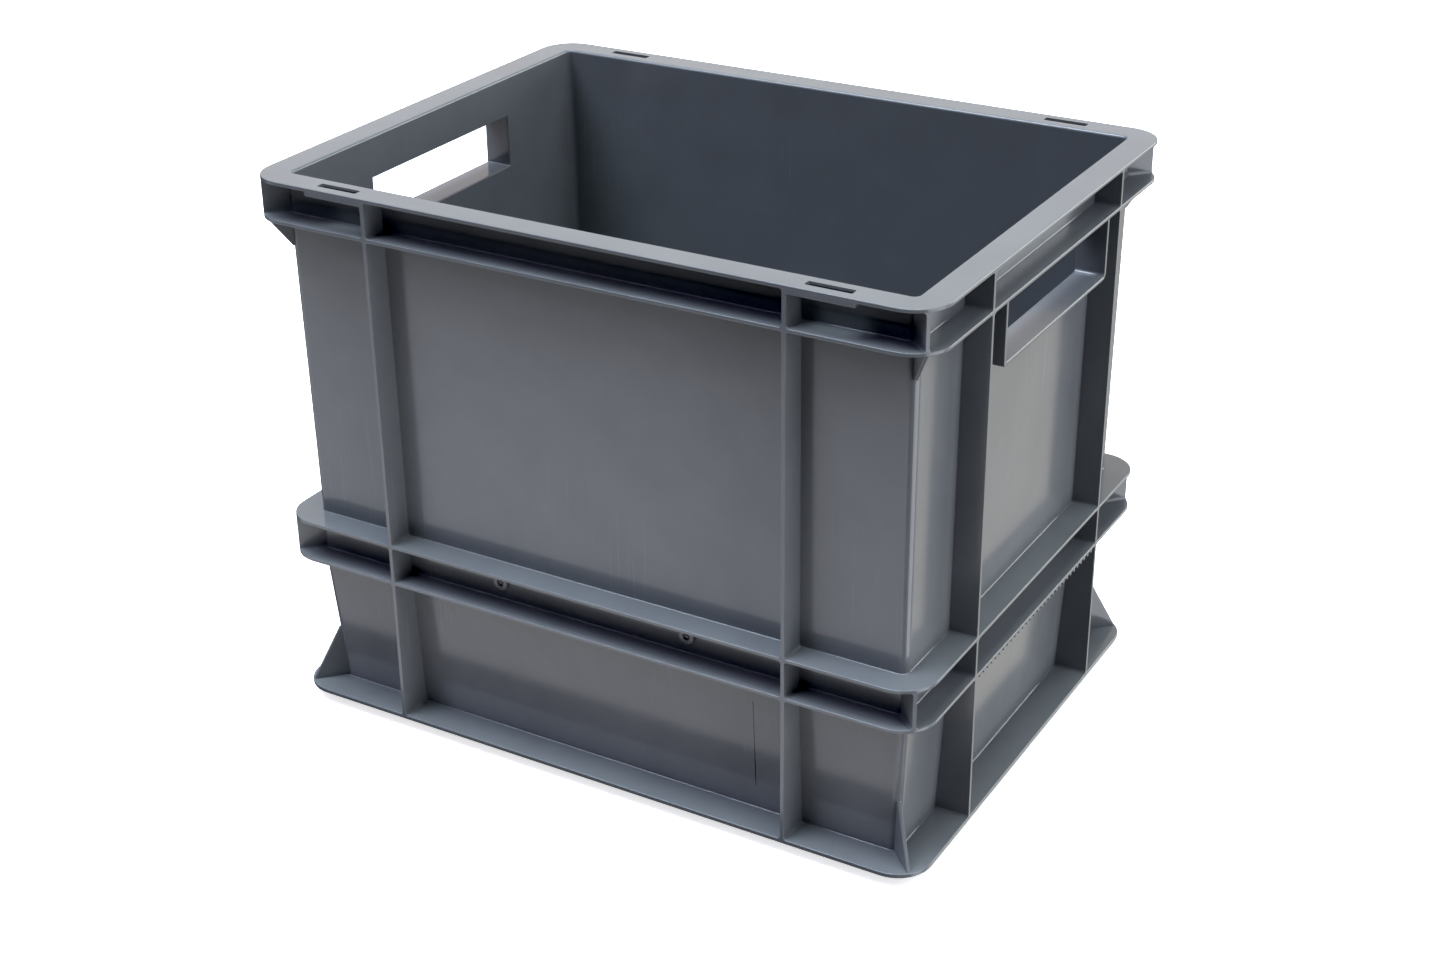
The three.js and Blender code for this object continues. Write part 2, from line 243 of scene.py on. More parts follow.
def swept(rings, closed=True):
    """The band between rings of (inset, height, corner radius) that run round the crate, and their edges."""
    bm = bmesh.new()
    inset, z, radius = rings[0]
    verts = bmesh.ops.create_grid(bm, x_segments=1, y_segments=1, size=0.5)["verts"]
    bmesh.ops.scale(bm, vec=(LENGTH - 2 * inset, WIDTH - 2 * inset, 1), verts=verts)
    bmesh.ops.translate(bm, vec=(0, 0, z), verts=verts)
    bmesh.ops.bevel(
        bm,
        geom=verts,
        offset=radius,
        offset_type="OFFSET",
        segments=CORNER_STEPS,
        profile=0.5,
        affect="VERTICES",
        material=-1,
    )
    edges = list(bm.edges)
    bmesh.ops.delete(bm, geom=list(bm.faces), context="FACES_ONLY")
    loops = [edges]
    for ring in rings[1:] + [rings[0]] * closed:
        made = bmesh.ops.extrude_edge_only(bm, edges=edges)["geom"]
        verts = [g for g in made if isinstance(g, bmesh.types.BMVert)]
        edges = [g for g in made if isinstance(g, bmesh.types.BMEdge)]
        loops.append(edges)
        before = inset + radius
        after = ring[0] + ring[2]
        for sx, sy in CORNERS.values():
            mine = [v for v in verts if v.co.x * sx > 0 and v.co.y * sy > 0]
            centre = Vector((sx * (LENGTH / 2 - before), sy * (WIDTH / 2 - before), 0))
            grow = ring[2] / radius
            bmesh.ops.scale(bm, vec=(grow, grow, 1), space=Matrix.Translation(-centre), verts=mine)
            shift = before - after
            bmesh.ops.translate(bm, vec=(sx * shift, sy * shift, ring[1] - z), verts=mine)
        inset, z, radius = ring
    if closed:
        bmesh.ops.remove_doubles(bm, verts=bm.verts, dist=WELD)
    bmesh.ops.recalc_face_normals(bm, faces=bm.faces)
    return bm, loops


def box(bm, x0, x1, y0, y1, z0, z1):
    """A block between two corners; returns its vertices."""
    verts = bmesh.ops.create_cube(bm, size=1)["verts"]
    bmesh.ops.scale(bm, vec=(x1 - x0, y1 - y0, z1 - z0), verts=verts)
    bmesh.ops.translate(bm, vec=((x0 + x1) / 2, (y0 + y1) / 2, (z0 + z1) / 2), verts=verts)
    return verts


def hole_block(sizes, span, grow, above, radius):
    """A block the size of a hand hole, grown at its sides and foot, and reaching above the hole's top.

    Of its lower corners, one is rounded and the other is nearly square."""
    bm = bmesh.new()
    half = sizes.hole_half + grow
    level = sizes.hole_bottom - grow
    box(bm, *span, -half, half, level, low("top_lower_flange") + above)
    for way, round_to in ((1, radius), (-1, sizes.hole_square)):
        corner = [
            e for e in bm.edges if all(v.co.z < level + NEAR and v.co.y * way > half - NEAR for v in e.verts)
        ]
        bmesh.ops.bevel(
            bm, geom=corner, offset=round_to, segments=6, profile=0.5, affect="EDGES", material=-1
        )
    return bm


def face_towards(bm, direction):
    """The face that lies furthest in a direction."""
    return max(bm.faces, key=lambda f: f.calc_center_median().dot(direction))


def upright(points, thickness):
    """A plate of a given thickness whose outline is given as (x, z) points."""
    bm = bmesh.new()
    verts = [bm.verts.new((x, -thickness / 2, z)) for x, z in points]
    face = bmesh.ops.contextual_create(bm, geom=verts)["faces"]
    made = bmesh.ops.extrude_face_region(bm, geom=face, use_keep_orig=True)["geom"]
    moved = [g for g in made if isinstance(g, bmesh.types.BMVert)]
    bmesh.ops.translate(bm, vec=(0, thickness, 0), verts=moved)
    return bm


def flare_end(bm, sizes, way):
    """Widens a plate's upper (way 1) or lower (way -1) end in a quarter round where it meets a flange."""
    face = face_towards(bm, Vector((0, 0, way)))
    risen = widened = 0.0
    widest = math.radians(75)
    sunk = 0.3 * MM
    for step in (30, 55, 75, 90):
        angle = math.radians(step)
        made = bmesh.ops.extrude_face_region(bm, geom=[face])["geom"]
        bmesh.ops.delete(bm, geom=[face], context="FACES_ONLY")
        verts = [g for g in made if isinstance(g, bmesh.types.BMVert)]
        face = next(g for g in made if isinstance(g, bmesh.types.BMFace))
        rise = sizes.flare * math.sin(angle) + sunk * (step == 90)
        wider = sizes.flare * (1 - math.cos(min(angle, widest)))
        bmesh.ops.translate(bm, vec=(0, 0, way * (rise - risen)), verts=verts)
        for side in (-1, 1):
            mine = [v for v in verts if v.co.y * side > 0]
            bmesh.ops.translate(bm, vec=(0, side * (wider - widened), 0), verts=mine)
        risen, widened = rise, wider


def plate(sizes, wall_low, wall_high, reach, z0, z1):
    """An upright plate along +X from a wall that may slope, filleted there and flared at both ends.

    It is drawn far too long, so that its inner and outer points are told apart and then moved home."""
    bm = bmesh.new()
    half = sizes.rib / 2
    radius = sizes.root_fillet
    far = 1.0
    behind_wall = -1.2 * MM
    quarter = [math.radians(a) for a in (0, 30, 60, 90)]
    side = [(behind_wall, half + radius)]
    side += [(radius * (1 - math.cos(a)), half + radius * (1 - math.sin(a))) for a in quarter]
    outline = [(x, -y) for x, y in side] + [(far, -half), (far, half)] + side[::-1]
    verts = [bm.verts.new((x, y, z0 + sizes.flare)) for x, y in outline]
    face = bmesh.ops.contextual_create(bm, geom=verts)["faces"]
    made = bmesh.ops.extrude_face_region(bm, geom=face, use_keep_orig=True)["geom"]
    upper = [g for g in made if isinstance(g, bmesh.types.BMVert)]
    bmesh.ops.translate(bm, vec=(0, 0, z1 - z0 - 2 * sizes.flare), verts=upper)
    bmesh.ops.recalc_face_normals(bm, faces=bm.faces)
    flare_end(bm, sizes, 1)
    flare_end(bm, sizes, -1)
    outer = [v for v in bm.verts if v.co.x > far / 2]
    inner = [v for v in bm.verts if v.co.x < far / 2]
    bmesh.ops.translate(bm, vec=(reach - far, 0, 0), verts=outer)
    slope = (wall_high - wall_low) / (z1 - z0)
    shear = Matrix(((1, 0, slope, wall_low - slope * z0), (0, 1, 0, 0), (0, 0, 1, 0), (0, 0, 0, 1)))
    bmesh.ops.transform(bm, matrix=shear, verts=inner)
    return bm


def turned(bm, degrees, x=0.0, y=0.0):
    """Turns a whole piece about the upright axis, then moves it."""
    turn = Matrix.Rotation(math.radians(degrees), 3, "Z")
    bmesh.ops.rotate(bm, cent=(0, 0, 0), matrix=turn, verts=bm.verts)
    bmesh.ops.translate(bm, vec=(x, y, 0), verts=bm.verts)
    return bm


def at_corner(bm, sizes, corner):
    """Moves a plate that lies along +X from a flange corner's centre to one corner of the crate."""
    sx, sy = CORNERS[corner]
    x = sx * (LENGTH / 2 - sizes.corner_radius)
    y = sy * (WIDTH / 2 - sizes.corner_radius)
    return turned(bm, math.degrees(math.atan2(sy, sx)), x, y)


def add_round(obj, width):
    """Rounds a piece's sharp edges."""
    bevel = obj.modifiers.new("edge round", "BEVEL")
    bevel.width = width
    bevel.segments = 2
    bevel.limit_method = "ANGLE"
    bevel.angle_limit = SHARP
    bevel.use_clamp_overlap = True


def piece(bm, name, nodes, edge=0.0):
    """Makes the finished object of a mesh, with the plastic on it, riding on the crate's one body.

    The nodes are those that it stands for, and the edge is the radius on its sharp edges."""
    bmesh.ops.recalc_face_normals(bm, faces=bm.faces)
    for face in bm.faces:
        face.smooth = True
    mesh = bpy.data.meshes.new(name)
    bm.to_mesh(mesh)
    bm.free()
    mesh.set_sharp_from_angle(angle=SHARP)
    obj = bpy.data.objects.new(name, mesh)
    bpy.context.scene.collection.objects.link(obj)
    if edge:
        add_round(obj, edge)
    weighted = obj.modifiers.new("flat faces", "WEIGHTED_NORMAL")
    weighted.keep_sharp = True
    mesh.materials.append(moulded_polypropylene())
    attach(obj, "root")
    if nodes:
        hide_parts(*nodes)


def cut_with(bm, cutters):
    """Takes the cutters' shapes out of a mesh."""
    for shape in (bm, cutters):
        bmesh.ops.recalc_face_normals(shape, faces=shape.faces)
    collection = bpy.context.scene.collection
    target = bpy.data.objects.new("target", bpy.data.meshes.new("target"))
    bm.to_mesh(target.data)
    collection.objects.link(target)
    tool = bpy.data.objects.new("cutter", bpy.data.meshes.new("cutter"))
    cutters.to_mesh(tool.data)
    collection.objects.link(tool)
    boolean = target.modifiers.new("cut", "BOOLEAN")
    boolean.operation = "DIFFERENCE"
    boolean.solver = "EXACT"
    boolean.object = tool
    bpy.context.view_layer.update()
    shape = target.evaluated_get(bpy.context.evaluated_depsgraph_get()).to_mesh()
    bm.clear()
    bm.from_mesh(shape)
    cutters.free()
    for obj in (target, tool):
        mesh = obj.data
        bpy.data.objects.remove(obj)
        bpy.data.meshes.remove(mesh)


# ---- materials ----


def node(tree, kind, values=None, links=None, **settings):
    """Adds a node with its settings, its sockets' values and the sockets that feed it."""
    made = tree.nodes.new(kind)
    for key, value in settings.items():
        setattr(made, key, value)
    for key, value in (values or {}).items():
        made.inputs[key].default_value = value
    for key, source in (links or {}).items():
        tree.links.new(source, made.inputs[key])
    return made


def new_material(name):
    """An empty node material and its node tree."""
    material = bpy.data.materials.new(name)
    material.use_nodes = True
    material.node_tree.nodes.clear()
    return material, material.node_tree


def moulded_polypropylene():
    """Injection-moulded grey polypropylene: a dark grey body under a waxy gloss, so a flat wall carries
    the pale floor and a flange beside it stays dark. Thin walls cool in long shallow waves, which let the
    borders of reflections wander. Use leaves pale specks, fine upright scuffs and one deep scratch."""
    found = bpy.data.materials.get("moulded_polypropylene")
    if found:
        return found
    colours = bpy.context.scene.crate_colours
    material, tree = new_material("moulded_polypropylene")
    place = node(tree, "ShaderNodeTexCoord").outputs["Object"]

    # Pigment streaks, about 35 mm long
    streaks = node(
        tree, "ShaderNodeTexNoise", {"Scale": 1 / 0.035, "Detail": 3.0, "Roughness": 0.6}, {"Vector": place}
    )
    share = node(
        tree, "ShaderNodeMapRange", {"From Min": 0.35, "From Max": 0.65}, {"Value": streaks.outputs["Fac"]}
    )
    body = node(
        tree,
        "ShaderNodeMix",
        {"A": (*colours.plastic_shade, 1.0), "B": (*colours.plastic, 1.0)},
        {"Factor": share.outputs["Result"]},
        data_type="RGBA",
    )

    # Pale specks up to 0.5 mm wide, about 16 mm apart, where the surface was knocked
    specks = node(
        tree, "ShaderNodeTexVoronoi", {"Scale": 1 / 0.016, "Randomness": 1.0}, {"Vector": place}
    )
    speck = node(
        tree,
        "ShaderNodeMapRange",
        {"From Min": 0.016, "From Max": 0.01, "To Max": 0.3},
        {"Value": specks.outputs["Distance"]},
    )
    # Fine scuffs from crates that slide in and out, about 0.5 mm wide and 25 mm high, in patches of 90 mm
    stretched = node(
        tree, "ShaderNodeMapping", {"Scale": (1 / 0.0011, 1 / 0.0011, 1 / 0.05)}, {"Vector": place}
    )
    lines = node(
        tree, "ShaderNodeTexNoise", {"Scale": 1.0, "Detail": 0.0}, {"Vector": stretched.outputs["Vector"]}
    )
    patches = node(tree, "ShaderNodeTexNoise", {"Scale": 1 / 0.09, "Detail": 1.0}, {"Vector": place})
    line = node(
        tree, "ShaderNodeMapRange", {"From Min": 0.68, "From Max": 0.78}, {"Value": lines.outputs["Fac"]}
    )
    patch = node(
        tree,
        "ShaderNodeMapRange",
        {"From Min": 0.54, "From Max": 0.7, "To Max": 0.07},
        {"Value": patches.outputs["Fac"]},
    )
    scuff = node(
        tree,
        "ShaderNodeMath",
        links={0: line.outputs["Result"], 1: patch.outputs["Result"]},
        operation="MULTIPLY",
    )
    wear = node(
        tree,
        "ShaderNodeMath",
        links={0: speck.outputs["Result"], 1: scuff.outputs["Value"]},
        operation="MAXIMUM",
    )
    worn = node(
        tree,
        "ShaderNodeMix",
        {"B": (*colours.scuff, 1.0)},
        {"Factor": wear.outputs["Value"], "A": body.outputs["Result"]},
        data_type="RGBA",
    )

    # One deep scratch down the lower front wall, 0.56 mm wide and 54 mm high
    axes = node(tree, "ShaderNodeSeparateXYZ", links={"Vector": place})
    in_scratch = None
    for axis, middle, half in (("X", 97.4, 0.28), ("Y", -135, 8), ("Z", 51, 27)):
        near = node(
            tree,
            "ShaderNodeMath",
            {1: middle * MM, 2: half * MM},
            {0: axes.outputs[axis]},
            operation="COMPARE",
        ).outputs["Value"]
        if in_scratch:
            near = node(
                tree, "ShaderNodeMath", links={0: in_scratch, 1: near}, operation="MULTIPLY"
            ).outputs["Value"]
        in_scratch = near
    colour_seen = node(
        tree,
        "ShaderNodeMix",
        {"B": (*colours.scratch, 1.0)},
        {"Factor": in_scratch, "A": worn.outputs["Result"]},
        data_type="RGBA",
    )

    # Long waves of the walls, about 120 mm, and smaller flow ripples, about 18 mm
    waves = node(tree, "ShaderNodeTexNoise", {"Scale": 1 / 0.12, "Detail": 1.0}, {"Vector": place})
    ripples = node(tree, "ShaderNodeTexNoise", {"Scale": 1 / 0.018, "Detail": 2.0}, {"Vector": place})
    # The mould's grain would be about 0.15 mm; it is drawn at 0.6 mm so that it shows
    grain = node(tree, "ShaderNodeTexNoise", {"Scale": 1 / 0.0006, "Detail": 2.0}, {"Vector": place})
    wave_bump = node(
        tree, "ShaderNodeBump", {"Strength": 0.35, "Distance": 1.2 * MM}, {"Height": waves.outputs["Fac"]}
    )
    ripple_bump = node(
        tree,
        "ShaderNodeBump",
        {"Strength": 0.12, "Distance": 0.12 * MM},
        {"Height": ripples.outputs["Fac"], "Normal": wave_bump.outputs["Normal"]},
    )
    grain_bump = node(
        tree,
        "ShaderNodeBump",
        {"Strength": 0.05, "Distance": 0.06 * MM},
        {"Height": grain.outputs["Fac"], "Normal": ripple_bump.outputs["Normal"]},
    )

    # Gloss varies a little with the flow of the melt
    gloss = node(
        tree,
        "ShaderNodeMapRange",
        {"From Min": 0.3, "From Max": 0.7, "To Min": 0.14, "To Max": 0.18},
        {"Value": ripples.outputs["Fac"]},
    )
    shader = node(
        tree,
        "ShaderNodeBsdfPrincipled",
        {"IOR": 1.49, "Metallic": 0.0},
        {
            "Base Color": colour_seen.outputs["Result"],
            "Roughness": gloss.outputs["Result"],
            "Normal": grain_bump.outputs["Normal"],
        },
    )
    node(tree, "ShaderNodeOutputMaterial", links={"Surface": shader.outputs["BSDF"]})
    return material


def matt_paper():
    """Matt white paper of a studio sweep, lit through from below: even and white, with no gloss."""
    material, tree = new_material("matt_paper")
    colours = bpy.context.scene.crate_colours
    shader = node(
        tree,
        "ShaderNodeBsdfPrincipled",
        {
            "Base Color": (*colours.floor, 1.0),
            "Roughness": 0.9,
            "Emission Color": WHITE,
            "Emission Strength": PAPER_GLOW,
        },
    )
    node(tree, "ShaderNodeOutputMaterial", links={"Surface": shader.outputs["BSDF"]})
    return material


# ---- pieces ----


class PieceOperator:
    """What all the crate's operators share."""

    bl_options = {"REGISTER", "UNDO"}

    def execute(self, context):
        self.build(context.scene.crate_sizes)
        return {"FINISHED"}


class CRATE_OT_top_band(PieceOperator, bpy.types.Operator):
    """Rim, channel wall and lower flange of the top band, with pads and slots on the long sides"""

    bl_idname = "crate.top_band"
    bl_label = "Top band"

    def build(self, sizes):
        rim = low("rim_flange") + sizes.pad_drop
        edge, wall, inner = sizes.corner_radius, sizes.wall_radius, sizes.inner_radius
        bm, _ = swept(
            rounded(
                [
                    (sizes.in_top, HIGH.z, sizes.rim_round, inner),
                    (0, HIGH.z, sizes.edge_round, edge),
                    (0, rim, sizes.edge_round, edge),
                    (sizes.out_top, rim, sizes.fillet, wall),
                    (sizes.out_top, top("top_lower_flange"), sizes.fillet, wall),
                    (0, top("top_lower_flange"), sizes.edge_round, edge),
                    (0, low("top_lower_flange"), sizes.edge_round, edge),
                    (sizes.in_top, low("top_lower_flange"), 0, inner),
                ]
            )
        )
        cut_with(bm, self.slots(sizes))
        piece(bm, "top_band", ["rim_flange", "top_channel", "top_lower_flange"])
        for name, (sx, sy) in CORNERS.items():
            self.pad(sizes, name, sx, sy)

    def slots(self, sizes):
        """Four cutters through the rim, rounded at their corners."""
        bm = bmesh.new()
        half = sizes.slot_length / 2
        side = sizes.slot_width / 2
        z0, z1 = HIGH.z - 9 * MM, HIGH.z + 4 * MM
        for sx, sy in CORNERS.values():
            x, y = sx * sizes.slot_x, sy * sizes.slot_y
            verts = box(bm, x - half, x + half, y - side, y + side, z0, z1)
            edges = [
                e for e in bm.edges if e.verts[0] in verts and abs(e.verts[0].co.z - e.verts[1].co.z) > NEAR
            ]
            bmesh.ops.bevel(
                bm, geom=edges, offset=sizes.slot_radius, segments=3, profile=0.5, affect="EDGES", material=-1
            )
        return bm

    def pad(self, sizes, name, sx, sy):
        """The thick pad under the rim beside a slot."""
        bm = bmesh.new()
        in_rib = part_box("upper_rib_front_b")[1].x - 0.5 * MM
        in_wall = WIDTH / 2 - sizes.out_top - 1 * MM
        edge = WIDTH / 2 - 0.06 * MM
        in_rim = HIGH.z - 1 * MM
        verts = box(bm, in_rib, sizes.pad_end, in_wall, edge, low("rim_flange"), in_rim)
        bmesh.ops.scale(bm, vec=(sx, sy, 1), verts=verts)
        cut_with(bm, self.slots(sizes))
        piece(bm, "rim_pad_" + name, [], sizes.edge_round)


class CRATE_OT_mid_band(PieceOperator, bpy.types.Operator):
    """Channel-shaped band round the middle"""

    bl_idname = "crate.mid_band"
    bl_label = "Middle band"

    def build(self, sizes):
        under = mid_underside()
        edge, wall, inner = sizes.corner_radius, sizes.wall_radius, sizes.inner_radius
        bm, _ = swept(
            rounded(
                [
                    (sizes.in_mid, top("mid_upper_flange"), 0, inner),
                    (0, top("mid_upper_flange"), sizes.edge_round, edge),
                    (0, low("mid_upper_flange"), sizes.edge_round, edge),
                    (sizes.out_mid, low("mid_upper_flange"), sizes.fillet, wall),
                    (sizes.out_mid, top("mid_lower_flange"), sizes.fillet, wall),
                    (0, top("mid_lower_flange"), sizes.edge_round, edge),
                    (0, under, sizes.edge_round, edge),
                    (sizes.in_mid, under, 0, inner),
                ]
            )
        )
        piece(bm, "mid_band", ["mid_lower_flange", "mid_channel", "mid_upper_flange"])
        for name in ("front", "back"):
            for end, s in (("a", -sizes.boss_x), ("b", sizes.boss_x)):
                self.boss(sizes, name, end, s)
        for name in ("left", "right"):
            self.teeth(sizes, name, under)

    def boss(self, sizes, name, end, s):
        """Round boss with a dimple, on the channel's wall."""
        turn, reach, _ = SIDES[name]
        bm = bmesh.new()
        in_wall = 1 * MM
        bmesh.ops.create_cone(
            bm,
            cap_ends=True,
            segments=32,
            radius1=sizes.boss_radius,
            radius2=sizes.boss_radius,
            depth=sizes.boss_depth + in_wall,
        )
        face = face_towards(bm, Vector((0, 0, 1)))
        nub = sizes.boss_bore / 2
        # Steps inwards and outwards: across the rim, down the dimple, across its floor, and up the nub
        for inward, rise in (
            (sizes.boss_radius - sizes.boss_bore, 0.0),
            (0.2 * MM, -1.4 * MM),
            (nub - 0.2 * MM, 0.0),
            (0.15 * MM, 0.9 * MM),
        ):
            bmesh.ops.inset_region(bm, faces=[face], thickness=inward, depth=rise)
        onto_wall = Matrix.Rotation(math.radians(90), 3, "Y")
        bmesh.ops.rotate(bm, cent=(0, 0, 0), matrix=onto_wall, verts=bm.verts)
        out = reach - sizes.out_mid + (sizes.boss_depth - in_wall) / 2
        bmesh.ops.translate(bm, vec=(out, s, sizes.boss_z), verts=bm.verts)
        piece(turned(bm, turn), f"channel_boss_{name}_{end}", [], 0.3 * MM)

    def teeth(self, sizes, name, under):
        """Row of small teeth under the band's edge."""
        turn, reach, _ = SIDES[name]
        bm = bmesh.new()
        inner, outer = reach - sizes.tooth_depth, reach - 0.2 * MM
        tip, in_flange = under - sizes.tooth_drop, under + 0.6 * MM
        half = sizes.tooth_width / 2
        for k in range(-sizes.teeth_each_way, sizes.teeth_each_way + 1):
            y = k * sizes.tooth_pitch
            box(bm, inner, outer, y - half, y + half, tip, in_flange)
        piece(turned(bm, turn), "grip_teeth_" + name, [], 0.1 * MM)


class CRATE_OT_base_pan(PieceOperator, bpy.types.Operator):
    """Base flange, stacking foot and floor"""

    bl_idname = "crate.base_pan"
    bl_label = "Base"

    def build(self, sizes):
        wall = top("base_flange")
        edge, outer, inner = sizes.corner_radius, sizes.wall_radius, sizes.inner_radius
        middle = 60 * MM  # inside this inset, the floor is one flat face
        corners = [
            (middle, top("floor_panel"), 0, inner),
            (sizes.in_base, top("floor_panel"), 2.5 * MM, inner),
            (sizes.in_base, wall, 0, inner),
            (0, wall, sizes.edge_round, edge),
            (0, low("base_flange"), sizes.edge_round, edge),
            (sizes.out_base, low("base_flange"), 0.8 * MM, outer),
            (sizes.out_base, LOW.z, 0.7 * MM, outer),
            (sizes.in_base, LOW.z, 0.5 * MM, inner),
            (sizes.in_base, low("floor_panel"), 0.5 * MM, inner),
            (middle, low("floor_panel"), 0, inner),
        ]
        bm, rings = swept(rounded(corners), closed=False)
        bmesh.ops.contextual_create(bm, geom=rings[0])
        bmesh.ops.contextual_create(bm, geom=rings[-1])
        piece(bm, "base_pan", ["base_flange", "stacking_foot", "floor_panel"])
        joined = 0.5 * MM  # how far a runner goes into the foot and the floor
        for name in ("front", "middle", "back"):
            bm = bmesh.new()
            a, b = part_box("floor_runner_" + name)
            box(bm, a.x - joined, b.x + joined, a.y, b.y, a.z, b.z + joined)
            piece(bm, "floor_runner_look_" + name, ["floor_runner_" + name], 0.3 * MM)


class CRATE_OT_walls(PieceOperator, bpy.types.Operator):
    """Upper and lower walls, the upper ones with their hand holes"""

    bl_idname = "crate.walls"
    bl_label = "Walls"

    def wall(self, sizes, z0, z1, out0, out1, in0, in1):
        """One ring of wall, flared at both ends where it meets the flanges."""
        r = sizes.fillet
        rings = [(in1, z1, sizes.inner_radius)]
        rings += arc((out1 - r, z1 - r), r, 90, 0, (out1, sizes.wall_radius))
        rings += arc((out0 - r, z0 + r), r, 0, -90, (out0, sizes.wall_radius))
        rings += [(in0, z0, sizes.inner_radius)]
        return swept(rings)[0]

    def build(self, sizes):
        lower = self.wall(
            sizes,
            top("base_flange"),
            mid_underside(),
            sizes.out_base,
            sizes.out_below_mid,
            sizes.in_base,
            sizes.in_mid,
        )
        piece(lower, "lower_wall", self.nodes("lower"))
        upper = self.wall(
            sizes,
            top("mid_upper_flange"),
            low("top_lower_flange"),
            sizes.out_above_mid,
            sizes.out_top,
            sizes.in_mid,
            sizes.in_top,
        )
        for name in ("left", "right"):
            turn, reach, _ = SIDES[name]
            span = (reach - WALL_ZONE, reach + PAST)
            hole = hole_block(sizes, span, SHY, PAST, sizes.hole_radius)
            cut_with(upper, turned(hole, turn))
        self.round_inner_edges(upper, sizes)
        piece(upper, "upper_wall", self.nodes("upper"))

    def nodes(self, level):
        """The frame's wall and corner nodes of one level."""
        return [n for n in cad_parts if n.startswith((level + "_wall", level + "_corner"))]

    def round_inner_edges(self, bm, sizes):
        """Rounds the hand holes' edges on the inside of the walls, where fingers curl round."""
        inner_face = LENGTH / 2 - sizes.in_top
        edges = [
            e
            for e in bm.edges
            if all(
                LENGTH / 2 - WALL_ZONE < abs(v.co.x) < inner_face + NEAR
                and abs(v.co.y) < sizes.hole_half + NEAR
                and v.co.z > sizes.hole_bottom - NEAR
                for v in e.verts
            )
            and len(e.link_faces) == 2
            and e.calc_face_angle() > math.radians(60)
        ]
        bmesh.ops.bevel(
            bm, geom=edges, offset=sizes.hole_edge, segments=3, profile=0.5, affect="EDGES", material=-1
        )


class CRATE_OT_collars(PieceOperator, bpy.types.Operator):
    """Collars round the hand holes"""

    bl_idname = "crate.collars"
    bl_label = "Hand hole collars"

    def build(self, sizes):
        for name in ("left", "right"):
            turn, reach, _ = SIDES[name]
            root = reach - (sizes.out_top + sizes.in_top) / 2
            in_flange = 0.6 * MM
            bm = hole_block(sizes, (root, reach - SHY), sizes.collar, in_flange, sizes.collar_radius)
            cut_with(bm, hole_block(sizes, (root - PAST, reach + PAST), 0, PAST, sizes.hole_radius))
            piece(turned(bm, turn), "hand_hole_collar_" + name, ["handle_collar_" + name], sizes.edge_round)


class CRATE_OT_ribs(PieceOperator, bpy.types.Operator):
    """Upright ribs between the bands, and in their channels"""

    bl_idname = "crate.ribs"
    bl_label = "Ribs"

    def build(self, sizes):
        spans = {
            "lower": (top("base_flange"), mid_underside(), sizes.out_base, sizes.out_below_mid),
            "mid": (low("mid_channel"), top("mid_channel"), sizes.out_mid, sizes.out_mid),
            "upper": (top("mid_upper_flange"), low("top_lower_flange"), sizes.out_above_mid, sizes.out_top),
            "top": (low("top_channel"), top("top_channel"), sizes.out_top, sizes.out_top),
        }
        for side, (turn, reach, offset) in SIDES.items():
            for span, (z0, z1, out0, out1) in spans.items():
                for end, s in (("a", -offset), ("b", offset)):
                    bm = plate(sizes, reach - out0, reach - out1, reach - SHY, z0, z1)
                    bmesh.ops.translate(bm, vec=(0, s, 0), verts=bm.verts)
                    nodes = [f"{span}_rib_{side}_{end}"] if span in ("lower", "upper") else []
                    piece(turned(bm, turn), f"rib_{span}_{side}_{end}", nodes, sizes.edge_round)


class CRATE_OT_corner_plates(PieceOperator, bpy.types.Operator):
    """Slanting plates in the corners of both bands, and the gussets above the base and below the rim"""

    bl_idname = "crate.corner_plates"
    bl_label = "Corner plates and gussets"

    def build(self, sizes):
        reach = sizes.corner_radius - 0.05 * MM
        root = sizes.wall_radius
        for corner in CORNERS:
            for band in ("mid", "top"):
                z0, z1 = low(band + "_channel"), top(band + "_channel")
                out = sizes.out_mid if band == "mid" else sizes.out_top
                shift = math.sqrt(2) * (sizes.corner_radius - sizes.wall_radius - out)
                bm = plate(sizes, root + shift, root + shift, reach, z0, z1)
                piece(at_corner(bm, sizes, corner), f"corner_plate_{band}_{corner}", [], sizes.edge_round)
            self.gusset(sizes, corner, "base", 1)
            self.gusset(sizes, corner, "top", -1)

    def gusset(self, sizes, corner, end, way):
        """Triangular plate between a flange and the wall's corner."""
        a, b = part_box(f"{end}_gusset_{corner}")
        level, tip = (a.z, b.z) if way > 0 else (b.z, a.z)
        if way > 0:
            out_level = sizes.out_base
            run = (tip - level) / (mid_underside() - level)
            out_tip = sizes.out_base + (sizes.out_below_mid - sizes.out_base) * run
        else:
            out_level = out_tip = sizes.out_top
        reach = sizes.corner_radius - 0.4 * MM
        centre = math.sqrt(2) * (sizes.corner_radius - sizes.wall_radius) + sizes.wall_radius
        wall_level = centre - math.sqrt(2) * out_level
        wall_tip = centre - math.sqrt(2) * out_tip
        in_flange = level - way * 0.4 * MM
        in_wall = 1.6 * MM
        tip_width = 0.7 * MM
        points = [
            (wall_level - in_wall, in_flange),
            (reach, in_flange),
            (wall_tip + tip_width, tip),
            (wall_tip - in_wall, tip),
        ]
        bm = at_corner(upright(points, sizes.rib), sizes, corner)
        piece(bm, f"gusset_{end}_{corner}", [f"{end}_gusset_{corner}"], sizes.edge_round)


# ---- stage ----

# Where the camera stands in metres, its bearing, tilt and roll in degrees, and its lens in millimetres
CAMERA_AT = Vector((0.578717, -0.988375, 0.697910))
CAMERA_AZIMUTH = 30.262
CAMERA_ELEVATION = 26.627
CAMERA_ROLL = -0.572
CAMERA_LENS = 55.33
CAMERA_SENSOR = 36

